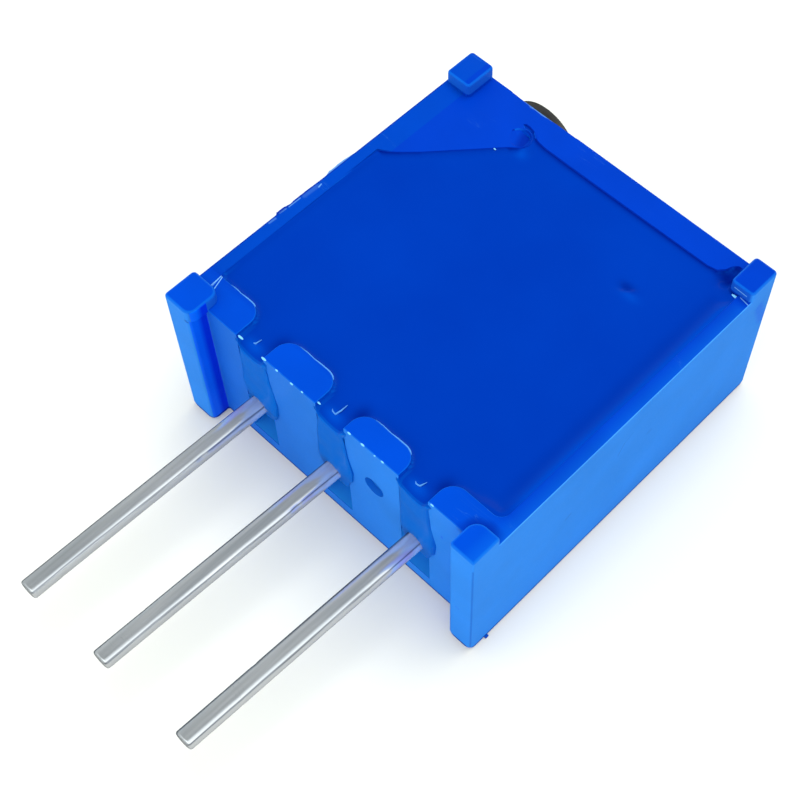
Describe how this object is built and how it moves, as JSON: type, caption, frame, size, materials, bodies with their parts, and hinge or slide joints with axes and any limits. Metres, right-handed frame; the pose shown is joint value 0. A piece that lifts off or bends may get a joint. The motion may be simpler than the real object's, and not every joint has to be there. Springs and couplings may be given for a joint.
{
  "type": "trimmer potentiometer",
  "caption": "Square multi-turn trimmer potentiometer with three round pins, corner standoffs, a potted back and a slotted screw that drives its wiper through a worm and gear.",
  "frame": {"origin": "centre of the front face, the flat face that the part lies on", "axes": "+X along the row of pins from terminal 1 to terminal 3, the pins point to -Y and the adjusting screw to +Y, +Z from the front face to the potted back"},
  "size_m": [0.0096, 0.0177, 0.0048],
  "materials": {
    "blue_plastic": "satin moulded",
    "blue_resin": "glossy cured resin",
    "screw_metal": "dull plated, turned",
    "seal_rubber": "matt",
    "spring_steel": "rolled strip",
    "gear_plastic": "moulded",
    "wiper_alloy": "bright strip",
    "ceramic": "unglazed ceramic",
    "resistive_film": "fired film",
    "conductor_film": "fired film",
    "pin_metal": "tinned, bright",
    "solder": "smooth"
  },
  "bodies": {
    "case": {"housing": "blue_plastic", "potting_seal": "blue_resin", "screw_retaining_clip": "spring_steel", "ceramic_plate": "ceramic", "resistance_track": "resistive_film", "collector_track": "conductor_film", "end_electrode_1": "conductor_film", "end_electrode_3": "conductor_film", "terminal_pin_1": "pin_metal", "terminal_pin_2": "pin_metal", "terminal_pin_3": "pin_metal", "solder_joint_1": "solder", "solder_joint_2": "solder", "solder_joint_3": "solder"},
    "screw": {"adjusting_screw": "screw_metal", "shaft_seal_ring": "seal_rubber"},
    "rotor": {"rotor_gear": "gear_plastic", "wiper_contact": "wiper_alloy"}
  },
  "joints": [
    {"name": "screw_turn", "type": "hinge", "parent": "case", "child": "screw", "pos_m": [-0.00347, 0, 0.0014], "axis": [0, 1, 0], "range_deg": [-4500, 4500]},
    {"name": "rotor_turn", "type": "hinge", "parent": "case", "child": "rotor", "pos_m": [0.00059, 0.00055, 0.0014], "axis": [0, 0, 1], "range_deg": [-136.4, 136.4]}
  ],
  "couplings": [
    {"joint": "rotor_turn", "follows": "screw_turn", "ratio": 0.030303}
  ]
}
